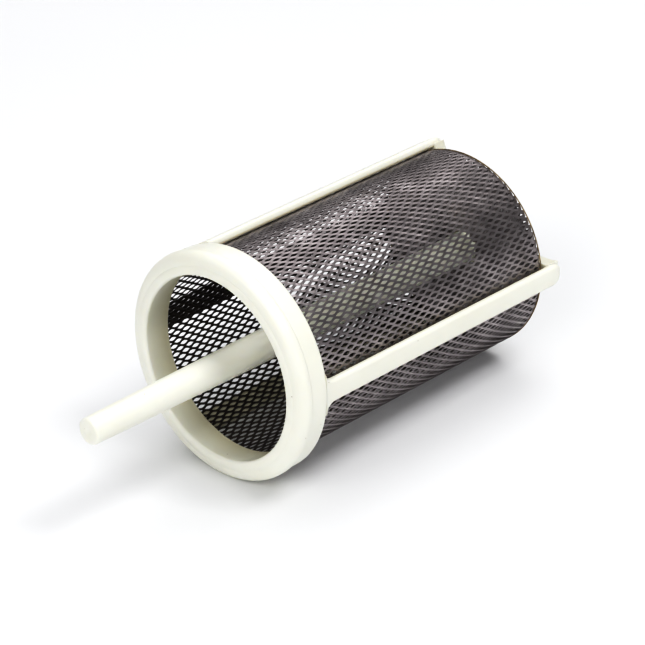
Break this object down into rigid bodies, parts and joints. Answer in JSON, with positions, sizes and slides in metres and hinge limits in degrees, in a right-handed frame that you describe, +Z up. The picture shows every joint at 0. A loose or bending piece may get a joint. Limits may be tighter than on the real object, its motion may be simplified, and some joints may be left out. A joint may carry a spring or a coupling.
{
  "type": "fuel sampler strainer insert",
  "caption": "Strainer insert of a fuel sampler: ribbed plastic cage and rim around an expanded-metal sleeve with a closed end, and a long stem that opens drain valves.",
  "frame": {"origin": "on the floor plane, below the middle of the insert's length, with the insert lying on its side", "axes": "+Z up; +Y along the insert's axis from the stem's tip towards the closed end; +X across"},
  "size_m": [0.0562, 0.129, 0.0561],
  "materials": {
    "ivory_plastic": "satin moulded, slightly waxy",
    "expanded_metal": "dull grey expanded sheet with bright strand edges"
  },
  "bodies": {
    "root": {"rim_ring": "ivory_plastic", "cage_band": "ivory_plastic", "cage_hub": "ivory_plastic", "cage_rib_side": "ivory_plastic", "cage_rib_top": "ivory_plastic", "cage_rib_under": "ivory_plastic", "cage_spoke_side": "ivory_plastic", "cage_spoke_top": "ivory_plastic", "cage_spoke_under": "ivory_plastic", "stem": "ivory_plastic", "screen_sleeve": "expanded_metal", "screen_end_disc": "expanded_metal"}
  },
  "joints": []
}
